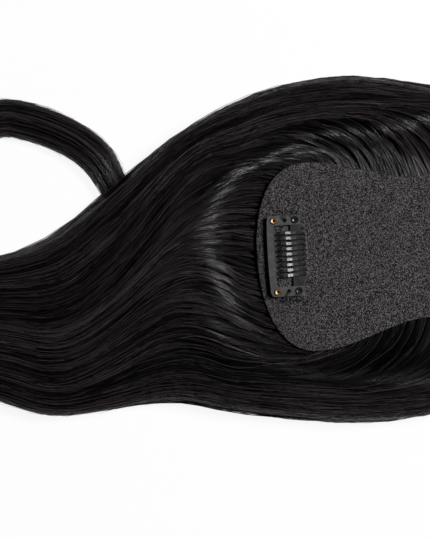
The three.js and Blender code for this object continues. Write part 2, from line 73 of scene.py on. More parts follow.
@dataclass(frozen=True)
class Signal:
    """A number socket that can be used in Python expressions."""

    tree: bpy.types.NodeTree
    socket: bpy.types.NodeSocket

    def _math(self, operation: str, first: "Signal | float", second: "Signal | float") -> "Signal":
        """Adds a Math node.

        Args:
            operation: the Math node's operation.
            first: its first value.
            second: its second value.

        Returns:
            The node's result.
        """
        node = self.tree.nodes.new("ShaderNodeMath")
        node.operation = operation
        for place, value in enumerate((first, second)):
            if isinstance(value, Signal):
                self.tree.links.new(value.socket, node.inputs[place])
            else:
                node.inputs[place].default_value = value
        return Signal(self.tree, node.outputs[0])

    def __radd__(self, other: float) -> "Signal":
        """Sum with a number on the left."""
        return self._math("ADD", other, self)

    def __rsub__(self, other: float) -> "Signal":
        """Difference from a number."""
        return self._math("SUBTRACT", other, self)

    def __rmul__(self, other: float) -> "Signal":
        """Product with a number on the left."""
        return self._math("MULTIPLY", other, self)

    def __pow__(self, other: float) -> "Signal":
        """Power."""
        return self._math("POWER", self, other)


@dataclass(frozen=True)
class Grain:
    """A fine noise in waves a metre and octaves, and its relief in metres with its strength."""

    scale: float
    detail: float
    depth: float
    strength: float


class Shader:
    """A new material and its node tree."""

    def __init__(self, name: str) -> None:
        """Makes the material.

        Args:
            name: the material's name.
        """
        self.material = bpy.data.materials.new(name)
        self.material.use_nodes = True
        self.tree = self.material.node_tree
        self.surface = self.tree.nodes["Principled BSDF"]

    def node(self, kind: str, settings: dict | None = None, **inputs: object) -> bpy.types.Node:
        """Adds any node other than a Math node.

        Args:
            kind: the node's type.
            settings: attributes of the node, set first.
            **inputs: socket names, with _ for a space, and their values or links.

        Returns:
            The node.
        """
        node = self.tree.nodes.new(kind)
        for name, value in (settings or {}).items():
            setattr(node, name, value)
        for name, value in inputs.items():
            self.feed(node, name.replace("_", " "), value)
        return node

    def feed(self, node: bpy.types.Node, socket: str, value: object) -> None:
        """Links or sets one input.

        Args:
            node: the node.
            socket: the name of its input.
            value: a Signal, an output socket or a plain value.
        """
        target = node.inputs[socket]
        if isinstance(value, Signal):
            self.tree.links.new(value.socket, target)
        elif isinstance(value, bpy.types.NodeSocket):
            self.tree.links.new(value, target)
        else:
            target.default_value = value

    def signal(self, socket: bpy.types.NodeSocket) -> Signal:
        """A number socket as a Signal."""
        return Signal(self.tree, socket)

    def place(self) -> bpy.types.NodeSocket:
        """Object coordinates."""
        return self.node("ShaderNodeTexCoord").outputs["Object"]

    def attribute(self, name: str) -> Signal:
        """A number that the mesh carries at its vertices."""
        return self.signal(self.node("ShaderNodeAttribute", {"attribute_name": name}).outputs["Fac"])

    def noise(self, place: bpy.types.NodeSocket, scale: float, detail: float) -> Signal:
        """Noise from 0 to 1 at a place, given its waves a metre and its octaves."""
        made = self.node("ShaderNodeTexNoise", Vector=place, Scale=scale, Detail=detail)
        return self.signal(made.outputs["Fac"])

    def cells(self, place: bpy.types.NodeSocket, scale: float, randomness: float = 0.75) -> Signal:
        """A random number for each small cell.

        Args:
            place: the coordinates that it follows.
            scale: cells a metre.
            randomness: how unevenly they lie.

        Returns:
            The number, from 0 to 1.
        """
        made = self.node("ShaderNodeTexVoronoi", Vector=place, Scale=scale, Randomness=randomness)
        split = self.node("ShaderNodeSeparateColor", Color=made.outputs["Color"])
        return self.signal(split.outputs["Red"])

    def ramp(self, value: Signal, low: float, high: float, start: float = 0.0, end: float = 1.0) -> Signal:
        """Maps low..high onto start..end, held at both ends.

        Args:
            value: the number to map.
            low: the value that gives start.
            high: the value that gives end.
            start: result at low.
            end: result at high.

        Returns:
            The mapped number.
        """
        sockets = {"From_Min": low, "From_Max": high, "To_Min": start, "To_Max": end}
        made = self.node("ShaderNodeMapRange", Value=value, **sockets)
        return self.signal(made.outputs["Result"])

    def mix(self, share: Signal, first: tuple, second: object) -> bpy.types.NodeSocket:
        """Mixes two colours.

        Args:
            share: how much of the second.
            first: linear red, green and blue.
            second: the same, or a colour socket.

        Returns:
            The colour socket.
        """
        made = self.node("ShaderNodeMix", {"data_type": "RGBA"})
        self.tree.links.new(share.socket, made.inputs[0])
        made.inputs[6].default_value = (*first, 1)
        if isinstance(second, tuple):
            made.inputs[7].default_value = (*second, 1)
        else:
            self.tree.links.new(second, made.inputs[7])
        return made.outputs[2]

    def relief(self, grain: Grain) -> Signal:
        """Bumps the surface with a fine noise, and returns the noise."""
        noise = self.noise(self.place(), grain.scale, grain.detail)
        self.bump(noise, grain.depth, grain.strength)
        return noise

    def bump(self, height: Signal, depth: float, strength: float) -> None:
        """Feeds the surface's normal with a height from 0 to 1, whose full depth is in metres."""
        made = self.node("ShaderNodeBump", Strength=strength, Distance=depth, Height=height)
        self.feed(self.surface, "Normal", made.outputs["Normal"])

    def settle(self, **inputs: object) -> bpy.types.Material:
        """Sets the surface's own sockets.

        Args:
            **inputs: socket names, with _ for a space, and their values or links.

        Returns:
            The finished material.
        """
        for name, value in inputs.items():
            self.feed(self.surface, name.replace("_", " "), value)
        return self.material


@dataclass(frozen=True)
class HairFinish:
    """Near-black straight fibre with a soft sheen."""

    name: str = "black_fibre"
    dark: tuple = (0.0009, 0.0008, 0.0009)
    warm: tuple = (0.14, 0.113, 0.1155)
    warm_power: float = 4.0
    gloss: float = 0.22
    dull: float = 0.08
    sheen: float = 0.42

    def material(self) -> bpy.types.Material:
        """Builds it; each strand's own tone shifts its colour and gloss."""
        shader = Shader(self.name)
        tone = shader.attribute("tone")
        return shader.settle(
            Base_Color=shader.mix(tone**self.warm_power, self.dark, self.warm),
            Roughness=self.gloss + self.dull * (1 - tone),
            Specular_IOR_Level=self.sheen,
        )


@dataclass(frozen=True)
class CoreFinish:
    """The dark hair that shows between the strands."""

    name: str = "deep_fibre"
    colour: tuple = (0.0015, 0.0013, 0.0014)
    lighter: tuple = (0.004, 0.0034, 0.0036)
    grain: Grain = Grain(scale=1600, detail=3, depth=0.0006, strength=0.6)
    roughness: float = 0.7
    sheen: float = 0.2

    def material(self) -> bpy.types.Material:
        """Builds it with a fine uneven relief."""
        shader = Shader(self.name)
        grain = shader.relief(self.grain)
        return shader.settle(
            Base_Color=shader.mix(grain, self.colour, self.lighter),
            Roughness=self.roughness,
            Specular_IOR_Level=self.sheen,
        )


@dataclass(frozen=True)
class ClothFinish:
    """Dark grey knit with a fine speckle."""

    name: str = "speckled_knit"
    dark: tuple = (0.0065, 0.006, 0.0064)
    light: tuple = (0.132, 0.121, 0.1285)
    stitches: float = 3800.0
    stitch_range: tuple = (0.22, 0.85)
    speckle_power: float = 3.0
    stitch_depth: float = 0.0003
    stitch_strength: float = 0.5
    roughness: float = 0.95
    sheen: float = 0.15

    def material(self) -> bpy.types.Material:
        """Builds it with the speckle in its colour and its relief."""
        shader = Shader(self.name)
        weave = shader.ramp(shader.cells(shader.place(), self.stitches), *self.stitch_range)
        shader.bump(weave, self.stitch_depth, self.stitch_strength)
        return shader.settle(
            Base_Color=shader.mix(weave**self.speckle_power, self.dark, self.light),
            Roughness=self.roughness,
            Specular_IOR_Level=self.sheen,
        )


@dataclass(frozen=True)
class MetalFinish:
    """Painted or plated metal, whose parts above a height may carry painted shade that makes them darker than
    the rest.
    """

    name: str
    colour: tuple
    worn: tuple
    gloss: float
    metallic: float = 0.0
    # Painted shade: above this height the colour is mixed towards a near-black shade colour
    painted_shade_above: float = 1.0
    painted_shade_share: float = 0.24
    painted_shade_blend: float = 0.0002
    painted_shade_colour: tuple = (0.004, 0.004, 0.004)
    clouds: float = 420.0
    cloud_detail: float = 3.0
    cloud_range: tuple = (0.35, 0.7)
    cloud_dullness: float = 0.12
    grain: Grain = Grain(scale=2600, detail=2, depth=0.00005, strength=0.5)

    def material(self) -> bpy.types.Material:
        """Builds it, uneven in colour and gloss as stamped metal is, with painted shade above a height."""
        shader = Shader(self.name)
        place = shader.place()
        cloud = shader.noise(place, self.clouds, self.cloud_detail)
        shader.relief(self.grain)
        height = shader.signal(shader.node("ShaderNodeSeparateXYZ", Vector=place).outputs["Z"])
        # Painted shade: share of the paint colour kept, falling from 1 to the shade share above the height
        low = shader.ramp(height, self.painted_shade_above - self.painted_shade_blend, self.painted_shade_above, 1.0, self.painted_shade_share)
        paint = shader.mix(shader.ramp(cloud, *self.cloud_range), self.colour, self.worn)
        return shader.settle(
            Base_Color=shader.mix(low, self.painted_shade_colour, paint),
            Metallic=self.metallic,
            Roughness=self.gloss + self.cloud_dullness * cloud,
        )


@dataclass(frozen=True)
class ThreadFinish:
    """Twisted black sewing thread."""

    name: str = "black_thread"
    dark: tuple = (0.006, 0.006, 0.006)
    light: tuple = (0.03, 0.028, 0.029)
    grain: Grain = Grain(scale=3800, detail=1, depth=0.0001, strength=0.6)
    roughness: float = 0.55

    def material(self) -> bpy.types.Material:
        """Builds it with a fine twist."""
        shader = Shader(self.name)
        twist = shader.relief(self.grain)
        return shader.settle(Base_Color=shader.mix(twist, self.dark, self.light), Roughness=self.roughness)


@dataclass(frozen=True)
class FloorFinish:
    """Pale studio floor that glows a little, as a lit white sweep does."""

    name: str = "white_sweep"
    albedo: float = 0.08
    glow: float = 0.911
    roughness: float = 0.9
    sheen: float = 0.1

    def material(self) -> bpy.types.Material:
        """Builds it."""
        shader = Shader(self.name)
        return shader.settle(
            Base_Color=(self.albedo, self.albedo, self.albedo, 1),
            Roughness=self.roughness,
            Specular_IOR_Level=self.sheen,
            Emission_Color=(1, 1, 1, 1),
            Emission_Strength=self.glow,
        )


# Mesh helpers


def deselect_all() -> None:
    """Leaves nothing selected and no mesh in edit mode."""
    if bpy.context.object and bpy.context.object.mode != "OBJECT":
        bpy.ops.object.mode_set(mode="OBJECT")
    bpy.ops.object.select_all(action="DESELECT")


def mesh_piece(name: str, points: np.ndarray, faces: list | np.ndarray) -> bpy.types.Object:
    """Makes an object with its place in its mesh.

    Args:
        name: the piece's name.
        points: vertices, one row each.
        faces: vertex numbers of each face.

    Returns:
        The object.
    """
    mesh = bpy.data.meshes.new(name)
    mesh.from_pydata(points.reshape(-1, 3).tolist(), [], [list(face) for face in faces])
    mesh.shade_smooth()
    piece = bpy.data.objects.new(name, mesh)
    bpy.context.collection.objects.link(piece)
    return piece


def apply_modifiers(piece: bpy.types.Object) -> None:
    """Applies every modifier of one piece."""
    deselect_all()
    piece.select_set(True)
    bpy.context.view_layer.objects.active = piece
    for modifier in list(piece.modifiers):
        bpy.ops.object.modifier_apply(modifier=modifier.name)


def finish_piece(piece: bpy.types.Object, material: bpy.types.Material) -> None:
    """Dresses a new piece and lets it ride on the topper.

    Args:
        piece: the object.
        material: its finish.
    """
    piece.data.materials.clear()
    piece.data.materials.append(material)
    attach(piece, BODY)
    log.info("%s: %d faces", piece.name, len(piece.data.polygons))


def smoothstep(value: np.ndarray) -> np.ndarray:
    """Eases from 0 to 1."""
    held = np.clip(value, 0, 1)
    return held * held * (3 - 2 * held)


def eased(value: np.ndarray, start: float, width: float) -> np.ndarray:
    """Eases from 0 to 1 over a width that begins at the start."""
    return smoothstep((value - start) / width)


def calmed(run: np.ndarray, least: float) -> np.ndarray:
    """How much a hair strays from its course, down to the least share where the curl narrows."""
    return 1 - (1 - least) * eased(run, *CURL_RUN)


def tapered(run: np.ndarray, rate: float, loss: float) -> np.ndarray:
    """Share of a hair's thickness along it, which loses a part over the last 1 / rate of its way."""
    return 1 - loss * smoothstep(run * rate - (rate - 1))


def cubic(corners: list[np.ndarray] | np.ndarray, share: np.ndarray) -> np.ndarray:
    """Points of a cubic curve with a start, two handles and an end."""
    start, leave, arrive, end = corners
    back = 1 - share
    return back**3 * start + 3 * back**2 * share * leave + 3 * back * share**2 * arrive + share**3 * end


def across_of(lines: np.ndarray) -> np.ndarray:
    """Level unit directions square to lines, on their left."""
    ahead = np.gradient(lines[..., :2], axis=1)
    across = np.stack([-ahead[..., 1], ahead[..., 0]], axis=-1)
    return across / np.maximum(np.linalg.norm(across, axis=-1, keepdims=True), TINY)


# Outline of the cloth base


@dataclass(frozen=True)
class BaseOutline:
    """Waisted outline of the base about its own middle, in millimetres."""

    length: float = 125.0
    lobe_width: float = 72.0
    waist_width: float = 54.0
    lobe_place: float = 41.5
    tip_handle: float = 0.64
    shoulder_handle: float = 0.62
    waist_handles: tuple = (0.65, 0.33)
    turn: float = math.radians(5.2)
    samples: int = 60

    def upper_edge(self) -> np.ndarray:
        """Points of the upper edge from the left tip to the right tip."""
        end, lobe, waist = self.length / 2, self.lobe_width / 2, self.waist_width / 2
        shoulder = self.lobe_place + (end - self.lobe_place) * self.shoulder_handle
        leave, arrive = (share * self.lobe_place for share in self.waist_handles)
        curves = [
            [(-end, 0), (-end, lobe * self.tip_handle), (-shoulder, lobe), (-self.lobe_place, lobe)],
            [(-self.lobe_place, lobe), (-leave, lobe), (-arrive, waist), (0, waist)],
        ]
        curves += [[(-x, y) for x, y in reversed(curve)] for curve in reversed(curves)]
        share = np.linspace(0, 1, self.samples, endpoint=False)[:, None]
        return np.vstack([*(cubic(np.array(curve, float), share) for curve in curves), [[end, 0]]])

    def at(self, root: np.ndarray) -> tuple[np.ndarray, np.ndarray]:
        """Place and outward direction on the upper edge.

        Args:
            root: shares of the way along the edge from the left tip.

        Returns:
            Points and unit normals.
        """
        line = self.upper_edge()
        steps = np.linalg.norm(np.diff(line, axis=0), axis=1)
        along = np.concatenate([[0], np.cumsum(steps)]) / steps.sum()
        slope = np.gradient(line, along, axis=0)
        point = np.stack([np.interp(root, along, line[:, i]) for i in (0, 1)], axis=-1)
        tangent = np.stack([np.interp(root, along, slope[:, i]) for i in (0, 1)], axis=-1)
        normal = np.stack([-tangent[..., 1], tangent[..., 0]], axis=-1)
        return point, normal / np.linalg.norm(normal, axis=-1, keepdims=True)

    def turned(self, points: np.ndarray) -> np.ndarray:
        """Points or directions turned with the base."""
        cosine, sine = math.cos(self.turn), math.sin(self.turn)
        x, y = points[..., 0], points[..., 1]
        return np.stack([x * cosine - y * sine, x * sine + y * cosine], axis=-1)

    def closed(self) -> np.ndarray:
        """The whole outline, anticlockwise from the left tip."""
        upper = self.upper_edge()
        lower = upper[:-1] * (1, -1)
        return np.vstack([lower, upper[:0:-1]])


# Course of the hair


@dataclass(frozen=True)
class Section:
    """One row of the course of the hair, with lengths as shares of the hair's own sizes."""

    half: float
    depth: float
    along: float = 0.0
    middle: float = 0.0
    turn: float = 0.0
    right: float = 0.0
    up: float = 0.0


FALL = (
    Section(along=-0.012, middle=-0.013, half=0.466, depth=0.96),
    Section(along=0.141, middle=-0.006, half=0.486, depth=1.0),
    Section(along=0.294, middle=-0.009, half=0.472, depth=1.0),
    Section(along=0.435, middle=-0.028, half=0.432, depth=1.0),
    Section(along=0.577, middle=-0.064, half=0.372, depth=0.94),
    Section(along=0.718, middle=-0.145, half=0.314, depth=0.86),
    Section(along=0.859, middle=-0.224, half=0.254, depth=0.8),
    Section(along=1.0, middle=-0.23, half=0.2, depth=0.75),
)
CURL = (
    Section(turn=45, half=0.167, depth=0.68),
    Section(turn=90, half=0.121, depth=0.6),
    Section(turn=135, half=0.08, depth=0.52),
    Section(turn=180, half=0.052, depth=0.46),
)
TAIL = (
    Section(right=0.286, up=0.99, turn=188, half=0.05, depth=0.44),
    Section(right=0.59, up=0.895, turn=205, half=0.049, depth=0.42),
    Section(right=0.87, up=0.745, turn=218, half=0.047, depth=0.4),
    Section(right=1.06, up=0.555, turn=228, half=0.046, depth=0.38),
    Section(right=1.19, up=0.31, turn=233, half=0.04, depth=0.34),
    Section(right=1.38, up=0.005, turn=238, half=0.029, depth=0.26),
    Section(right=1.525, up=-0.262, turn=240, half=0.014, depth=0.14),
)


@dataclass(frozen=True)
class Lane:
    """Where the hair from one place of the base's edge joins the fall."""

    root: float
    join: float
    lane: float
    leave: float


LANES = (
    Lane(root=0.0, join=4.0, lane=0.0, leave=0.35),
    Lane(root=0.15, join=3.8, lane=0.3, leave=0.35),
    Lane(root=0.3, join=3.2, lane=0.6, leave=0.35),
    Lane(root=0.4, join=2.4, lane=0.75, leave=0.35),
    Lane(root=0.5, join=1.6, lane=0.85, leave=0.35),
    Lane(root=0.502, join=1.3, lane=0.78, leave=0.4),
    Lane(root=0.75, join=0.7, lane=0.89, leave=0.45),
    Lane(root=1.0, join=0.0, lane=0.97, leave=0.68),
)


@dataclass(frozen=True)
class HairCourse:
    """The way that the hair takes, in millimetres about the middle of the base."""

    width: float = 134.0
    depth: float = 16.6
    fall_length: float = 163.5
    curl_radius: float = 39.8
    edge_depth: float = 0.45
    root_inset: float = 7.0
    root_height: float = 13.3
    rise_start: float = 12.0
    rise: float = 14.0
    uneven: float = 0.9
    crest_place: float = 25.0
    crest_width: float = 9.0
    crest_heights: dict = field(default_factory=lambda: {1: (0.0, 2.0), -1: (0.0, -0.9)})
    far_dip: float = 3.2
    far_early: float = 5.5
    far_run: tuple = (0.2, 0.2)
    lower_lift: float = 0.55
    lower_run: tuple = (0.02, 0.15)
    crest_run: tuple = (0.08, 0.25)
    uneven_waves: tuple = (97, 231, 0.7)
    wave_height: float = 0.9
    wave_length: float = 48.0
    wave_place: float = 38.0
    wave_slant: float = 9.0
    wave_run: tuple = (28, 10)
    least_wave: float = 0.2
    fan_power: float = 1.3
    fan_rows: tuple = (3.2, 5.0)
    sway: float = 0.12
    sway_rows: tuple = (2.6, 3.4, 6.2, 7.2)
    sway_start: float = 3.0
    sway_period: float = 3.6
    parting_root: float = 0.501
    parting_lane: float = 0.72
    parting_width: float = 0.08
    parting_step: float = 1.2
    parting_dive: float = 2.4
    parting_out: float = 30.0
    parting_rows: tuple = (2.5, 2.5)
    join_handle: float = 0.4
    join_step: float = 0.05
    wall_pull: float = 3.0
    turn_stations: int = 14
    course_stations: int = 32
    outline: BaseOutline = field(default_factory=BaseOutline)

    def table(self) -> np.ndarray:
        """Place, turn, half width and depth of every row."""
        end = FALL[-1]
        centre = (-self.fall_length * end.along, self.width * end.middle + self.curl_radius)
        rows = [(-self.fall_length * row.along, self.width * row.middle, 0.0, row) for row in FALL]
        for row in CURL:
            angle = math.radians(row.turn)
            x = centre[0] - self.curl_radius * math.sin(angle)
            rows.append((x, centre[1] - self.curl_radius * math.cos(angle), angle, row))
        for row in TAIL:
            x = centre[0] + self.curl_radius * row.right
            rows.append((x, centre[1] + self.curl_radius * row.up, math.radians(row.turn), row))
        table = [(x, y, turn, row.half * self.width, row.depth * self.depth) for x, y, turn, row in rows]
        return np.array(table)

    @property
    def last_row(self) -> int:
        """Number of the last row."""
        return len(FALL) + len(CURL) + len(TAIL) - 1

    def sections(self, row: np.ndarray) -> np.ndarray:
        """Smooth values of the table between its rows.

        Args:
            row: row numbers, whole or not.

        Returns:
            Place, turn, half width and depth for each.
        """
        table = self.table()
        table = np.vstack([2 * table[0] - table[1], table, 2 * table[-1] - table[-2]])
        held = np.clip(row, 0, self.last_row)
        start = np.minimum(held.astype(int), self.last_row - 1)
        share = (held - start)[..., None]
        a, b, c, d = (table[start + step] for step in range(4))
        slope = 0.5 * (c - a)
        next_slope = 0.5 * (d - b)
        return (
            (2 * share**3 - 3 * share**2 + 1) * b
            + (share**3 - 2 * share**2 + share) * slope
            + (3 * share**2 - 2 * share**3) * c
            + (share**3 - share**2) * next_slope
        )

    def lane_points(self, row: np.ndarray, lane: np.ndarray) -> np.ndarray:
        """Places on the course.

        Args:
            row: row numbers.
            lane: from -1 at one edge to 1 at the other.

        Returns:
            Points.
        """
        x, y, turn, half, _ = np.moveaxis(self.sections(row), -1, 0)
        return np.stack([x + np.sin(turn) * lane * half, y + np.cos(turn) * lane * half], axis=-1)

    def lane_heights(self, row: np.ndarray, lane: np.ndarray, wall: np.ndarray) -> np.ndarray:
        """Height of the hair's surface.

        Args:
            row: row numbers.
            lane: from -1 to 1.
            wall: 0 on top, up to 1 at the foot of the side.

        Returns:
            Heights.
        """
        depth = self.sections(row)[..., 4]
        round_off = np.sqrt(np.clip(1 - lane * lane, 0, 1))
        return depth * (self.edge_depth * (1 - wall) + (1 - self.edge_depth) * round_off * (1 - wall))

    def fanned(self, row: np.ndarray, lane: np.ndarray) -> np.ndarray:
        """Lanes as the hair falls past the base: the upper half draws in, and all of it sways once.

        Args:
            row: row numbers.
            lane: from -1 to 1.

        Returns:
            The lanes.
        """
        start, end = self.fan_rows
        power = 1 + self.fan_power * eased(row, start, end - start)
        drawn = np.where(lane > 0, np.abs(lane) ** power, lane)
        first, full, fading, over = self.sway_rows
        shown = eased(row, first, full - first) * (1 - eased(row, fading, over - fading))
        sway = self.sway * shown * np.sin(2 * np.pi * (row - self.sway_start) / self.sway_period)
        return drawn + sway * (1 - drawn**2)

    def under_share(self, root: np.ndarray, lane: np.ndarray) -> np.ndarray:
        """How far hairs dive under the outer lock that comes from the base's far end.

        Args:
            root: share of the way round the edge from the left tip.
            lane: from 0 in the middle to 1 at the edge.

        Returns:
            From 0 for hairs on top to 1 for hairs beneath it.
        """
        return np.where(root < self.parting_root, eased(lane, self.parting_lane, self.parting_width), 0)

    def heights(
        self,
        root: np.ndarray,
        side: np.ndarray,
        lane: np.ndarray,
        wall: np.ndarray,
        row: np.ndarray,
        out: np.ndarray,
    ) -> np.ndarray:
        """Heights of hairs, which leave the base low, climb its crest and then lie on the fall.

        The far end's upper hair starts lower and climbs sooner, and the lower hair starts higher.

        Args:
            root: share of the way round the edge from the left tip.
            side: 1 above the base, -1 below it.
            lane: from 0 in the middle of the fall to 1 at its edge.
            wall: 0 on top of the mass, up to 1 at the foot of its side.
            row: row numbers at the stations of each hair.
            out: distance from the base's edge there.

        Returns:
            Heights, one row of stations for each hair.
        """
        lane_there = (side * lane)[:, None]
        surface = self.lane_heights(row, self.fanned(row, lane_there), wall[:, None])
        slow, fast, fast_share = self.uneven_waves
        uneven = np.sin(root * slow + side) + fast_share * np.sin(root * fast + 2 * side)
        uneven = self.uneven * uneven[:, None]
        far_upper = np.where(side > 0, eased(root, *self.far_run), 0)[:, None]
        climb = smoothstep((out - self.rise_start + self.far_early * far_upper - uneven) / self.rise)
        lower = np.where(side < 0, eased(root, *self.lower_run), 0)[:, None]
        low = self.root_height - self.far_dip * far_upper + self.lower_lift * lower
        lifted = low + (surface - low) * climb
        near, far = (np.where(side > 0, *pair) for pair in zip(self.crest_heights[1], self.crest_heights[-1]))
        size = near + (far - near) * eased(root, *self.crest_run)
        crest = size[:, None] * np.exp(-(((out - self.crest_place) / self.crest_width) ** 2))
        dive = -self.parting_dive * self.under_share(root, lane)
        over = np.where(root > self.parting_root, self.parting_step, dive)
        shown = smoothstep(out / self.parting_out) * (1 - eased(row, *self.parting_rows))
        place = out - self.wave_place - self.wave_slant * lane_there
        wave = self.wave_height * np.sin(2 * np.pi * place / self.wave_length) * eased(out, *self.wave_run)
        wave = wave * np.clip(surface / self.depth, self.least_wave, 1)
        return lifted + (crest + wave + over[:, None] * shown) * (1 - wall[:, None])

    def paths(self, root: np.ndarray, side: np.ndarray, end_row: np.ndarray, wall: np.ndarray) -> np.ndarray:
        """Middle lines of hairs.

        Args:
            root: share of the way round the edge from the left tip.
            side: 1 above the base, -1 below it.
            end_row: row where each ends.
            wall: 0 on top of the mass, up to 1 at the foot of its side.

        Returns:
            Points, one row of stations for each hair.
        """
        columns = [[getattr(lane, name) for lane in LANES] for name in ("root", "join", "lane", "leave")]
        join, lane, leave = (np.interp(root, columns[0], column) for column in columns[1:])
        lane = lane + (1 - lane) * np.minimum(wall * self.wall_pull, 1)
        flip = np.stack([np.ones_like(side), side], axis=-1)
        point, normal = self.outline.at(root)
        outward = self.outline.turned(normal * flip)
        start = self.outline.turned(point * flip - normal * flip * self.root_inset)
        goal = self.lane_points(join, self.fanned(join, side * lane))
        beyond = join + self.join_step
        back = goal - self.lane_points(beyond, self.fanned(beyond, side * lane))
        back /= np.linalg.norm(back, axis=-1, keepdims=True)
        way = np.linalg.norm(goal - start, axis=-1, keepdims=True)
        near = start + outward * way * leave[:, None]
        far = goal + back * way * self.join_handle

        share = np.linspace(0, 1, self.turn_stations, endpoint=False)[None, :, None]
        curve = cubic([corner[:, None] for corner in (start, near, far, goal)], share)
        row = join[:, None] + (end_row - join)[:, None] * np.linspace(0, 1, self.course_stations)[None]
        run = self.lane_points(row, self.fanned(row, (side * lane)[:, None]))
        plan = np.concatenate([curve, run], axis=1)

        step = np.linalg.norm(np.diff(plan, axis=1), axis=-1)
        travelled = np.concatenate([np.zeros((len(root), 1)), np.cumsum(step, axis=1)], axis=1)
        rows = np.concatenate([np.repeat(join[:, None], self.turn_stations, axis=1), row], axis=1)
        height = self.heights(root, side, lane, wall, rows, travelled - self.root_inset)
        return np.concatenate([plan, height[..., None]], axis=-1)


# Hair


@dataclass(frozen=True)
class Strands:
    """Hairs of one piece: their middle lines and radii in millimetres, and one tone for each hair."""

    lines: np.ndarray
    radius: np.ndarray
    tone: np.ndarray
    corner_angles: tuple = (90, 210, 330)
    lowest: float = 0.05

    def tubes(self, name: str, origin: np.ndarray) -> bpy.types.Object:
        """Three-sided closed tubes joined in one mesh.

        Args:
            name: the piece's name.
            origin: place of the middle of the base, in metres.

        Returns:
            The object, with each hair's tone on its vertices.
        """
        count, stations, _ = self.lines.shape
        tangent = np.gradient(self.lines, axis=1)
        tangent /= np.linalg.norm(tangent, axis=-1, keepdims=True)
        side = np.cross(tangent, (0.0, 0.0, 1.0))
        side /= np.linalg.norm(side, axis=-1, keepdims=True)
        up = np.cross(side, tangent)
        angles = np.radians(self.corner_angles)
        spread = side[..., None, :] * np.cos(angles)[:, None] + up[..., None, :] * np.sin(angles)[:, None]
        points = self.lines[..., None, :] + spread * self.radius[..., None, None]
        points[..., 2] = np.maximum(points[..., 2], self.lowest)

        corners = len(angles)
        ring = np.arange(corners)
        here = (np.arange(count)[:, None, None] * stations + np.arange(stations - 1)[None, :, None]) * corners
        a = here + ring
        b = here + (ring + 1) % corners
        quads = np.stack([a, a + corners, b + corners, b], axis=-1).reshape(-1, 4)
        first = np.arange(count)[:, None] * stations * corners + ring
        last = first + (stations - 1) * corners
        faces = [*quads.tolist(), *first.tolist(), *last[:, ::-1].tolist()]
        piece = mesh_piece(name, points * MM + origin, faces)
        tone = piece.data.attributes.new("tone", "FLOAT", "POINT")
        tone.data.foreach_set("value", np.repeat(self.tone.ravel(), stations * corners).astype(np.float32))
        return piece


@dataclass(frozen=True)
class Wave:
    """A sideways wave: how many to a hair, and its size in a lock and in one hair of it."""

    waves: float
    size: float
    own_size: float = 0.0


# Shares of the way round the base's edge: the first and the last hair, and those at the mass's edges
FIRST_ROOT, LAST_ROOT = 0.001, 0.999
EDGE_ROOTS = (0.85, LAST_ROOT)
# Millimetres above the floor
LOWEST_HAIR = 0.25


@dataclass(frozen=True)
class LockStyle:
    """Hairs gathered in locks, in shares and millimetres."""

    per_side: int = 80
    hairs: int = 14
    broad: int = 11
    least_broad: float = 0.02
    place_jitter: float = 0.35
    stray_share: float = 0.12
    spreads: tuple = (1.6, 0.6)
    end_jitter: float = 0.5
    own_end_share: float = 0.35
    wall_fold: float = 2.2
    gather: tuple = (0.35, 0.25, 1.6)
    waves: tuple = (Wave(2.2, 1.3, 0.25), Wave(5.0, 0.5, 0.25), Wave(11.0, 0.12, 0.12))
    wave_sizes: tuple = (0.3, 1)
    own_rate: float = 1.3
    lift: float = 0.45
    lift_rate: float = 0.9
    lift_phase: float = 1.7
    ease_rate: float = 6
    calm: float = 0.35
    layers: tuple = (-0.8, 0.2)
    roundness: float = 0.7
    shingle: float = 0.9
    radius: float = 0.15
    radius_range: tuple = (0.6, 1.35)
    taper: tuple = (8, 0.8)
    tone_shares: tuple = (0.3, 0.5, 0.2)
    # Painted shade on hairs that dive under the outer lock, and on the lower side's hair
    under_shade: float = 0.5
    lower_shade: float = 0.25
    lower_run: tuple = (0.3, 0.4)


@dataclass(frozen=True)
class LooseStyle:
    """Fine single hairs that stand a little off the mass."""

    count: int = 480
    inner_share: float = 0.5
    inner_roots: tuple = (0.02, 0.99)
    waves: tuple = (Wave(1.5, 1.6), Wave(3.5, 0.8), Wave(8.0, 0.25))
    wave_sizes: tuple = (0.2, 1)
    edge_gain: float = 1.5
    calm: float = 0.2
    ease_rate: float = 5
    lifts: tuple = (0.1, 1.2)
    radius: float = 0.085
    taper: tuple = (6, 0.6)
    tones: tuple = (0.3, 0.9)


@dataclass(frozen=True)
class FuzzStyle:
    """Short hair ends that stand out from the edges of the mass."""

    count: int = 1400
    stations: int = 9
    short_of_end: float = 1.5
    starts: tuple = (0.12, 0.86)
    lengths: tuple = (0.05, 0.13)
    first_out: tuple = (-0.2, 1)
    last_out: tuple = (0.2, 2.0)
    calm: float = 0.6
    lifts: tuple = (-2, 0.3)
    radii: tuple = (0.06, 0.1)
    thinning: float = 0.7
    tones: tuple = (0.3, 1)


@dataclass(frozen=True)
class WallStyle:
    """Hairs one above the other on the outer wall, in bands of one tone."""

    count: int = 440
    bands: int = 9
    roots: tuple = (0.974, 0.99)
    end_rows: tuple = (3, 7)
    levels: tuple = (0.03, 1)
    sway: float = 0.05
    lowest_level: float = 0.02
    bulges: tuple = (4.9, 2.6)
    bulge_rate: float = 2.6
    fade: tuple = (1.6, 0.6)
    below_top: float = 0.9
    radii: tuple = (0.1, 0.2)
    taper: tuple = (6, 0.7)
    tone_shares: tuple = (0.65, 0.35)


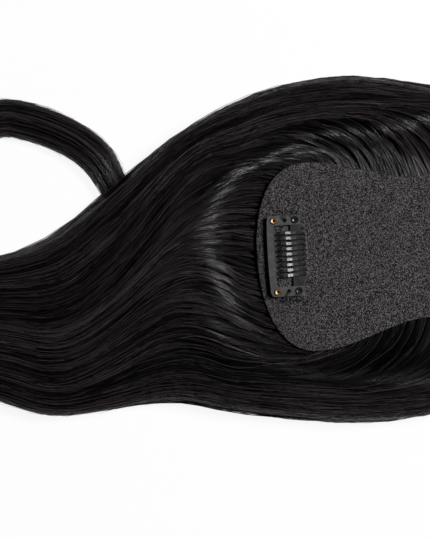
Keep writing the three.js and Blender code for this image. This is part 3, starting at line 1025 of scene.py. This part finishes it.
@dataclass(frozen=True)
class CoreStyle:
    """The dark mass: arches under the locks, broader ones round the curl, and a pile under the base."""

    locks: int = 26
    arch_points: int = 9
    arch_power: float = 0.5
    lowest: tuple = (0.8, 0.3)
    last_row: float = 8.2
    widest_row: float = 3
    fill: float = 0.95
    root_half: float = 4.5
    root_rate: float = 2.6
    drop: float = 1.5
    curl_rows: tuple = (5.5, 0.4, 60)
    curl_lanes: tuple = (-0.72, 0.72, 5)
    curl_half: float = 0.24
    curl_drop: float = 1.0
    pile: tuple = ((0.98, 0.3), (1.02, 3.0), (1.0, 9.0), (0.94, 10.8))
    voxel: float = 1.45
    smoothing: int = 3


@dataclass
class HairMass:
    """The hair: a dark core and the strands over it, in locks."""

    origin: np.ndarray
    course: HairCourse = field(default_factory=HairCourse)
    wall_share: float = 0.16
    first_end: float = 7.0
    last_end: float = 2.0
    end_samples: int = 60
    thinning: float = 1.15
    seed: int = 11

    def end_rows(self, draw: np.random.Generator, count: int) -> np.ndarray:
        """Rows where hairs end, so that fewer reach round the curl as it narrows.

        Args:
            draw: the random draws.
            count: how many.

        Returns:
            Row numbers.
        """
        rows = np.linspace(self.first_end, self.course.last_row - self.last_end, self.end_samples)
        half = self.course.sections(rows)[:, 3]
        left = np.minimum.accumulate((half / half[0]) ** self.thinning)
        return np.interp(-draw.random(count), -left, rows)

    def lock_strands(self, draw: np.random.Generator, side: Side) -> Strands:
        """Strands of one side, gathered in locks.

        Args:
            draw: the random draws.
            side: which half of the base's edge they leave.

        Returns:
            The strands.
        """
        style = LockStyle()
        locks, each = style.per_side, style.hairs
        jitter = draw.uniform(-style.place_jitter, style.place_jitter, locks)
        place = (np.arange(locks) + 0.5 + jitter) / locks * (1 + self.wall_share)
        offset = draw.uniform(-1, 1, (locks, each))
        spread = np.where(draw.random((locks, each)) < style.stray_share, *style.spreads) / locks
        spots = np.clip(place[:, None] + offset * spread, FIRST_ROOT, 1 + self.wall_share).ravel()
        ends = self.end_rows(draw, locks)[:, None]
        ends = ends + draw.uniform(-style.end_jitter, style.end_jitter, (locks, each))
        apart = draw.random((locks, each)) < style.own_end_share
        ends = np.where(apart, self.end_rows(draw, locks * each).reshape(locks, each), ends).ravel()

        def lines_for(spot: np.ndarray) -> np.ndarray:
            """Paths of hairs; those past 1 run low on the side of the mass."""
            wall = np.clip((spot - 1) / self.wall_share, 0, 1)
            root = np.clip(np.where(spot > 1, 1 - style.wall_fold * (spot - 1), spot), FIRST_ROOT, LAST_ROOT)
            return self.course.paths(root, np.full_like(root, side.value), ends, wall)

        hairs = lines_for(spots)
        middles = lines_for(np.repeat(place, each))
        stations = hairs.shape[1]
        run = np.linspace(0, 1, stations)[None]
        first, more, rate = style.gather
        lines = hairs + (middles - hairs) * (first + more * smoothstep(run[..., None] * rate))

        across = across_of(lines)
        wander = np.zeros((locks * each, stations))
        lift = np.zeros_like(wander)
        for wave in style.waves:
            phase = draw.uniform(0, 2 * np.pi, (locks, 1)).repeat(each, 0)
            own = draw.uniform(0, 2 * np.pi, (locks * each, 1))
            size = draw.uniform(*style.wave_sizes, (locks, 1)).repeat(each, 0)
            wander += wave.size * size * np.sin(2 * np.pi * wave.waves * run + phase)
            wander += wave.own_size * np.sin(2 * np.pi * wave.waves * style.own_rate * run + own)
            turn = 2 * np.pi * wave.waves * style.lift_rate * run + phase * style.lift_phase + 1
            lift += style.lift * wave.size * size * np.sin(turn)
        ease = smoothstep(run * style.ease_rate) * calmed(run, style.calm)
        lines[..., :2] += across * (wander * ease)[..., None]
        layer = draw.uniform(*style.layers, (locks * each, 1))
        layer = layer - style.roundness * offset.ravel()[:, None] ** 2
        borders = np.sort(draw.random(style.broad)) * (1 + self.wall_share)
        number = np.searchsorted(borders, spots)
        edges = np.concatenate([[0], borders, [1 + self.wall_share]])
        inside = (spots - edges[number]) / np.maximum(edges[number + 1] - edges[number], style.least_broad)
        way = draw.choice((-1.0, 1.0), style.broad + 1)[number]
        shingle = style.shingle * way * (inside - 0.5)
        lines[..., 2] += (lift + shingle[:, None]) * ease + layer
        lines[..., 2] = np.maximum(lines[..., 2], LOWEST_HAIR)

        radius = style.radius * draw.uniform(*style.radius_range, (locks * each, 1))
        radius = radius * tapered(run, *style.taper)
        lock_share, own_share, broad_share = style.tone_shares
        tone = draw.random((locks, 1)).repeat(each, 0) * lock_share
        tone += draw.random((locks * each, 1)) * own_share
        tone += broad_share * draw.random(style.broad + 1)[number][:, None]
        lane = np.interp(spots, [lane.root for lane in LANES], [lane.lane for lane in LANES])
        # painted shade: hairs that dive under the outer lock are darkened
        tone *= 1 - style.under_shade * self.course.under_share(spots, lane)[:, None]
        # painted shade: the lower side's hair is darkened from about a third of the way round the edge
        # onwards
        if side is Side.LOWER:
            tone *= 1 - style.lower_shade * eased(spots, *style.lower_run)[:, None]
        return Strands(lines, radius, tone)

    def loose_strands(self, draw: np.random.Generator) -> Strands:
        """Fine single hairs, half of them at the edges of the mass.

        Args:
            draw: the random draws.

        Returns:
            The strands.
        """
        style = LooseStyle()
        count = style.count
        inner = draw.random(count) < style.inner_share
        root = np.where(inner, draw.uniform(*style.inner_roots, count), draw.uniform(*EDGE_ROOTS, count))
        side = draw.choice((-1.0, 1.0), count)
        lines = self.course.paths(root, side, self.end_rows(draw, count), np.zeros(count))
        stations = lines.shape[1]
        run = np.linspace(0, 1, stations)[None]
        across = across_of(lines)
        wander = np.zeros((count, stations))
        for wave in style.waves:
            phase = draw.uniform(0, 2 * np.pi, (count, 1))
            size = wave.size * draw.uniform(*style.wave_sizes, (count, 1))
            wander += size * np.sin(2 * np.pi * wave.waves * run + phase)
        wander *= np.where(root > EDGE_ROOTS[0], style.edge_gain, 1.0)[:, None] * calmed(run, style.calm)
        ease = smoothstep(run * style.ease_rate)
        lines[..., :2] += across * (wander * ease)[..., None]
        lines[..., 2] += ease * draw.uniform(*style.lifts, (count, 1))
        radius = np.full((count, stations), style.radius) * tapered(run, *style.taper)
        return Strands(lines, radius, draw.uniform(*style.tones, (count, 1)))

    def edge_fuzz(self, draw: np.random.Generator) -> Strands:
        """Short hair ends, each a piece of a path that bends away from the mass.

        Args:
            draw: the random draws.

        Returns:
            The strands.
        """
        style = FuzzStyle()
        count, stations = style.count, style.stations
        root = draw.uniform(*EDGE_ROOTS, count)
        side = draw.choice((-1.0, 1.0), count)
        end_row = np.full(count, self.course.last_row - style.short_of_end)
        whole = self.course.paths(root, side, end_row, np.zeros(count))
        last = whole.shape[1] - 1
        run = np.linspace(0, 1, stations)[None]
        start = draw.uniform(*style.starts, (count, 1))
        spot = np.clip(start + draw.uniform(*style.lengths, (count, 1)) * run, 0, 1) * last
        low = np.minimum(spot.astype(int), last - 1)
        hair = np.arange(count)[:, None]
        share = (spot - low)[..., None]
        lines = whole[hair, low] * (1 - share) + whole[hair, low + 1] * share
        out = draw.uniform(*style.first_out, (count, 1)) + run**2 * draw.uniform(*style.last_out, (count, 1))
        out = out * calmed(start, style.calm)
        lines[..., :2] -= across_of(lines) * (out * side[:, None])[..., None]
        lines[..., 2] += draw.uniform(*style.lifts, (count, 1))
        radius = draw.uniform(*style.radii, (count, 1)) * (1 - style.thinning * run**2)
        return Strands(lines, radius, draw.uniform(*style.tones, (count, 1)))

    def wall_strands(self, draw: np.random.Generator) -> Strands:
        """Hairs on the outer wall, from the far end of the base round into the fall.

        Args:
            draw: the random draws.

        Returns:
            The strands.
        """
        style = WallStyle()
        count, bands = style.count, style.bands
        side = draw.choice((-1.0, 1.0), count)
        root = draw.uniform(*style.roots, count)
        lines = self.course.paths(root, side, draw.uniform(*style.end_rows, count), np.zeros(count))[:, ::2]
        run = np.linspace(0, 1, lines.shape[1])[None]
        phase = draw.uniform(0, 2 * np.pi, (count, 1))
        level = draw.uniform(*style.levels, (count, 1)) + style.sway * np.sin(4 * np.pi * run + phase)
        level = np.clip(level, style.lowest_level, 1)
        widest, least = style.bulges
        out = np.maximum(least, widest * (1 - smoothstep(run * style.bulge_rate))) * np.sqrt(1 - level**4)
        out = out * tapered(run, *style.fade)
        lines[..., :2] -= across_of(lines) * (out * side[:, None])[..., None]
        lines[..., 2] = np.maximum(level * (lines[..., 2] - style.below_top), LOWEST_HAIR)
        radius = draw.uniform(*style.radii, (count, 1)) * tapered(run, *style.taper)
        band = (level[:, :1] * bands).astype(int) + np.where(side > 0, bands + 1, 0)[:, None]
        band_share, own_share = style.tone_shares
        tone = band_share * draw.random(2 * bands + 2)[band] + own_share * draw.random((count, 1))
        return Strands(lines, radius, tone)

    def core(self) -> bpy.types.Object:
        """The closed dark mass under the strands."""
        style = CoreStyle()
        locks = style.locks
        crown, foot = style.lowest
        place = (np.arange(locks) + 0.5) / locks
        points: list[np.ndarray] = []
        faces: list[list[int]] = []
        used = 0
        arch = np.linspace(0, np.pi, style.arch_points)

        def add(rings: np.ndarray) -> None:
            """Closes a run of rings in one tube."""
            nonlocal used
            stations, count, _ = rings.shape
            grid = used + np.arange(stations * count).reshape(stations, count)
            turned = np.roll(grid, -1, axis=1)
            quads = np.stack([grid[:-1], turned[:-1], turned[1:], grid[1:]], axis=-1).reshape(-1, 4)
            faces.extend(quads.tolist())
            faces.append(grid[0, ::-1].tolist())
            faces.append(grid[-1].tolist())
            points.append(rings.reshape(-1, 3))
            used += stations * count

        def arches(lines: np.ndarray, half: np.ndarray, drop: float) -> None:
            """Adds an arch along each line, down to the floor."""
            for line, across, widths in zip(lines, across_of(lines), half):
                reach = np.cos(arch)[None, :, None] * widths[:, None, None]
                plan = line[:, None, :2] + across[:, None] * reach
                top = np.maximum(line[:, 2:] - drop, crown) * np.sin(arch)[None] ** style.arch_power
                add(np.concatenate([plan, np.maximum(top, foot)[..., None]], axis=-1))

        for side in Side:
            sides, ends = np.full(locks, float(side.value)), np.full(locks, style.last_row)
            lines = self.course.paths(place, sides, ends, np.zeros(locks))
            stations = lines.shape[1]
            row = np.linspace(0, style.last_row, stations)
            half = self.course.sections(np.maximum(row, style.widest_row))[:, 3] / locks * style.fill
            root_half = style.root_half * (1 - smoothstep(np.linspace(0, style.root_rate, stations)))
            arches(lines, np.repeat(np.maximum(half, root_half)[None], locks, axis=0), style.drop)
        first, before_end, count = style.curl_rows
        rows = np.linspace(first, self.course.last_row - before_end, count)
        for lane in np.linspace(*style.curl_lanes):
            lanes = np.full_like(rows, lane)
            heights = self.course.lane_heights(rows, lanes, np.zeros_like(rows))
            line = np.concatenate([self.course.lane_points(rows, lanes), heights[:, None]], axis=-1)
            half = self.course.sections(rows)[:, 3] * style.curl_half
            arches(line[None], half[None], style.curl_drop)

        outline = self.course.outline
        ring = outline.turned(outline.closed()[::4])
        level = np.ones((len(ring), 1))
        pile = [np.concatenate([ring * share, level * height], axis=-1) for share, height in style.pile]
        add(np.stack(pile))

        core = mesh_piece("hair_core", np.vstack(points) * MM + self.origin, faces)
        remesh = core.modifiers.new("one skin", "REMESH")
        remesh.mode = "VOXEL"
        remesh.voxel_size = style.voxel * MM
        smooth = core.modifiers.new("settle", "SMOOTH")
        smooth.iterations = style.smoothing
        apply_modifiers(core)
        core.data.shade_smooth()
        return core

    def build(self) -> list[bpy.types.Object]:
        """Builds and dresses the core and the strands.

        Returns:
            The pieces.
        """
        draw = np.random.default_rng(self.seed)
        core = self.core()
        finish_piece(core, CoreFinish().material())
        fibre = HairFinish().material()
        pieces = [core]
        for side in Side:
            strands = self.lock_strands(draw, side)
            halves = np.array_split(np.arange(len(strands.lines)), 2)
            for number, part in enumerate(halves, 1):
                share = Strands(strands.lines[part], strands.radius[part], strands.tone[part])
                piece = share.tubes(f"hair_{side.name.lower()}_locks_{number}", self.origin)
                finish_piece(piece, fibre)
                pieces.append(piece)
        finer = {
            "hair_loose_strands": self.loose_strands(draw),
            "hair_edge_fuzz": self.edge_fuzz(draw),
            "hair_outer_wall": self.wall_strands(draw),
        }
        for name, strands in finer.items():
            piece = strands.tubes(name, self.origin)
            finish_piece(piece, fibre)
            pieces.append(piece)
        for piece in pieces:
            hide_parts("hair")
        return pieces


# Cloth base


@dataclass
class ClothBase:
    """The base, cut from knit cloth and lying flat on the hair."""

    origin: np.ndarray
    outline: BaseOutline = field(default_factory=BaseOutline)
    top: float = 16.0
    thick: float = 1.5
    edge_drop: float = 1.0
    flat_share: float = 0.7
    rings: int = 26
    first_ring: float = 0.02
    ripple: float = 0.22
    ripple_sizes: tuple = (9, 14, 7, 17)
    cut_edge: float = 0.35
    cut_angle: float = 50

    def build(self, rests_on: list[bpy.types.Object]) -> bpy.types.Object:
        """Builds and dresses the base.

        Args:
            rests_on: the hair under it; not used.

        Returns:
            The base.
        """
        border = self.outline.closed()[::2]
        shares = np.linspace(self.first_ring, 1, self.rings)
        grid = border[None] * shares[:, None, None]
        drop = self.edge_drop * np.clip((shares - self.flat_share) / (1 - self.flat_share), 0, 1) ** 2
        x, y = grid[..., 0], grid[..., 1]
        first, second, third, fourth = self.ripple_sizes
        wave = np.sin(x / first + y / second) * np.sin(y / third - x / fourth)
        height = self.top - drop[:, None] + self.ripple * wave * shares[:, None] ** 2
        surface = np.concatenate([self.outline.turned(grid), height[..., None]], axis=-1)
        count = len(border)
        numbers = np.arange(self.rings * count).reshape(self.rings, count)
        turned = np.roll(numbers, -1, axis=1)
        quads = np.stack([numbers[:-1], numbers[1:], turned[1:], turned[:-1]], axis=-1).reshape(-1, 4)
        faces = [*quads.tolist(), numbers[0].tolist()]
        base = mesh_piece("base_knit", surface * MM + self.origin, faces)
        sheet = base.modifiers.new("cloth", "SOLIDIFY")
        sheet.thickness = self.thick * MM
        sheet.offset = -1
        edge = base.modifiers.new("cut edge", "BEVEL")
        edge.width = self.cut_edge * MM
        edge.segments = 2
        edge.limit_method = "ANGLE"
        edge.angle_limit = math.radians(self.cut_angle)
        apply_modifiers(base)
        base.data.shade_smooth()
        finish_piece(base, ClothFinish().material())
        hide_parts("base_cloth")
        x, y = border[:, 0], border[:, 1]
        return base


# Snap comb clips


CLIP_FINISHES = {
    "clip_comb": MetalFinish(
        name="clip_paint",
        colour=(0.062, 0.06, 0.061),
        worn=(0.078, 0.076, 0.077),
        gloss=0.2,
        # the teeth rise above this height and get painted shade
        painted_shade_above=0.0183,
    ),
    "clip_bar": MetalFinish(
        name="bar_paint",
        colour=(0.02, 0.019, 0.0195),
        worn=(0.035, 0.034, 0.035),
        gloss=0.3,
        metallic=0.4,
    ),
    "far_clip": MetalFinish(
        name="far_clip_paint",
        colour=(0.062, 0.06, 0.061),
        worn=(0.085, 0.082, 0.084),
        gloss=0.24,
    ),
    "brass_eyelet": MetalFinish(
        name="polished_brass",
        colour=(0.85, 0.52, 0.26),
        worn=(0.95, 0.68, 0.42),
        gloss=0.22,
        metallic=1.0,
    ),
    "black_rivet": MetalFinish(
        name="black_enamel",
        colour=(0.008, 0.008, 0.009),
        worn=(0.015, 0.015, 0.016),
        gloss=0.16,
    ),
}


@dataclass
class SnapClips:
    """The clips, which keep their solids and get their finishes and rounded edges."""

    edge: float = 0.14
    tooth_edge: float = 0.27
    edge_steps: int = 3
    edge_angle: float = 40

    def build(self) -> None:
        """Dresses every clip node."""
        made = {name: finish.material() for name, finish in CLIP_FINISHES.items()}
        for name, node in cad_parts.items():
            finish = next((key for key in made if name.startswith(key)), None)
            if finish is None:
                continue
            node.data.materials.clear()
            node.data.materials.append(made[finish])
            bevel = node.modifiers.new("rounded edges", "BEVEL")
            bevel.width = (self.tooth_edge if name == "clip_comb" else self.edge) * MM
            bevel.segments = self.edge_steps
            bevel.limit_method = "ANGLE"
            bevel.angle_limit = math.radians(self.edge_angle)
            log.info("%s: %s", name, made[finish].name)


@dataclass
class ClipStitches:
    """Thread loops that sew the near clip down through its holes and its hollow rivets."""

    reach: float = 1.9
    thread: float = 0.16
    level: float = 17.6
    hole_leans: tuple = (-16.0, 9.0)
    rivet_leans: tuple = (-22.0, 20.0)
    ring_steps: int = 28
    round_steps: int = 8

    def loop(self, spot: np.ndarray, heading: float) -> bpy.types.Object:
        """Stands one loop in a hole so that it goes round the end of the clip.

        Args:
            spot: middle of the hole, in metres.
            heading: direction that the loop reaches in, in radians.

        Returns:
            The loop.
        """
        deselect_all()
        reach = self.reach * MM
        bpy.ops.mesh.primitive_torus_add(
            major_radius=reach,
            minor_radius=self.thread * MM,
            major_segments=self.ring_steps,
            minor_segments=self.round_steps,
            location=(*(spot + reach * np.array([math.cos(heading), math.sin(heading)])), self.level * MM),
            rotation=(math.pi / 2, 0, heading),
        )
        bpy.ops.object.transform_apply(location=True, rotation=True, scale=True)
        return bpy.context.object

    def build(self) -> bpy.types.Object:
        """Builds and dresses the loops at both ends of the clip.

        Returns:
            The stitches, as one piece.
        """
        ends = ("lower", "upper")
        middle = {
            node: np.array([sum(pair) / 2 for pair in zip(*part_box(node))][:2])
            for node in (f"{kind}_{end}" for kind in ("brass_eyelet", "black_rivet") for end in ends)
        }
        loops = []
        for end, other in zip(ends, reversed(ends)):
            rivet = middle[f"black_rivet_{end}"]
            hole = (middle[f"brass_eyelet_{end}"] + rivet) / 2
            away = rivet - middle[f"black_rivet_{other}"]
            heading = math.atan2(away[1], away[0])
            for spot, leans in ((hole, self.hole_leans), (rivet, self.rivet_leans)):
                loops += [self.loop(spot, heading + math.radians(lean)) for lean in leans]
        deselect_all()
        for loop in loops:
            loop.select_set(True)
        bpy.context.view_layer.objects.active = loops[0]
        bpy.ops.object.join()
        stitches = loops[0]
        stitches.name = "clip_stitches"
        stitches.data.shade_smooth()
        finish_piece(stitches, ThreadFinish().material())
        return stitches


# Floor, light and camera


@dataclass
class Studio:
    """Plain pale floor, soft light and a camera straight above."""

    pixels: tuple = (430, 537)
    millimetres_per_pixel: float = 0.38
    waist_pixel: tuple = (421.0, 247.0)
    camera_height: float = 1.2
    subject_height: float = 0.014
    sensor: float = 36.0
    floor_size: float = 8.0
    key_place: tuple = (0.82, 0.3, 1.2)
    key_size: float = 0.4
    key_power: float = 26.0
    world_glow: float = 0.02

    def floor(self) -> None:
        """Lays the floor."""
        deselect_all()
        bpy.ops.mesh.primitive_plane_add(size=self.floor_size, location=(0, 0, 0))
        floor = bpy.context.object
        floor.name = "floor"
        floor.data.materials.append(FloorFinish().material())

    def soft_light(self, name: str, place: tuple, target: tuple, size: float, power: float) -> None:
        """Hangs a square soft light.

        Args:
            name: the light's name.
            place: where it hangs.
            target: what it points at.
            size: its side in metres.
            power: watts.
        """
        data = bpy.data.lights.new(name, "AREA")
        data.size = size
        data.energy = power
        light = bpy.data.objects.new(name, data)
        light.location = place
        light.rotation_euler = (Vector(target) - Vector(place)).to_track_quat("-Z", "Y").to_euler()
        bpy.context.collection.objects.link(light)

    def camera(self, waist: np.ndarray) -> None:
        """Sets the camera above the floor.

        Args:
            waist: the middle of the base, in metres.
        """
        scale = self.millimetres_per_pixel * MM
        x = waist[0] + (self.pixels[0] / 2 - self.waist_pixel[0]) * scale
        y = waist[1] + (self.waist_pixel[1] - self.pixels[1] / 2) * scale
        data = bpy.data.cameras.new("camera")
        data.sensor_width = self.sensor
        data.lens = self.sensor * self.camera_height / (max(self.pixels) * scale)
        camera = bpy.data.objects.new("camera", data)
        camera.location = (x, y, self.camera_height + self.subject_height)
        bpy.context.collection.objects.link(camera)
        bpy.context.scene.camera = camera

    def build(self, waist: np.ndarray) -> None:
        """Builds floor, lights, surroundings and camera.

        Args:
            waist: the middle of the base, in metres.
        """
        self.floor()
        self.soft_light("key", self.key_place, (0, 0, 0), self.key_size, self.key_power)
        world = bpy.data.worlds.new("surroundings")
        world.use_nodes = True
        surroundings = world.node_tree.nodes["Background"].inputs
        surroundings["Color"].default_value = (1, 1, 1, 1)
        surroundings["Strength"].default_value = self.world_glow
        bpy.context.scene.world = world
        bpy.context.scene.view_settings.view_transform = "Standard"
        self.camera(waist)


def main() -> None:
    """Builds the topper and its studio."""
    logging.basicConfig(level=logging.INFO, format="%(name)s: %(message)s")
    low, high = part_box("base_cloth")
    waist = np.array([(low[0] + high[0]) / 2, (low[1] + high[1]) / 2, 0.0])
    hair = HairMass(waist).build()
    ClothBase(waist).build(hair)
    SnapClips().build()
    ClipStitches().build()
    Studio().build(waist)


if __name__ == "__main__":
    main()
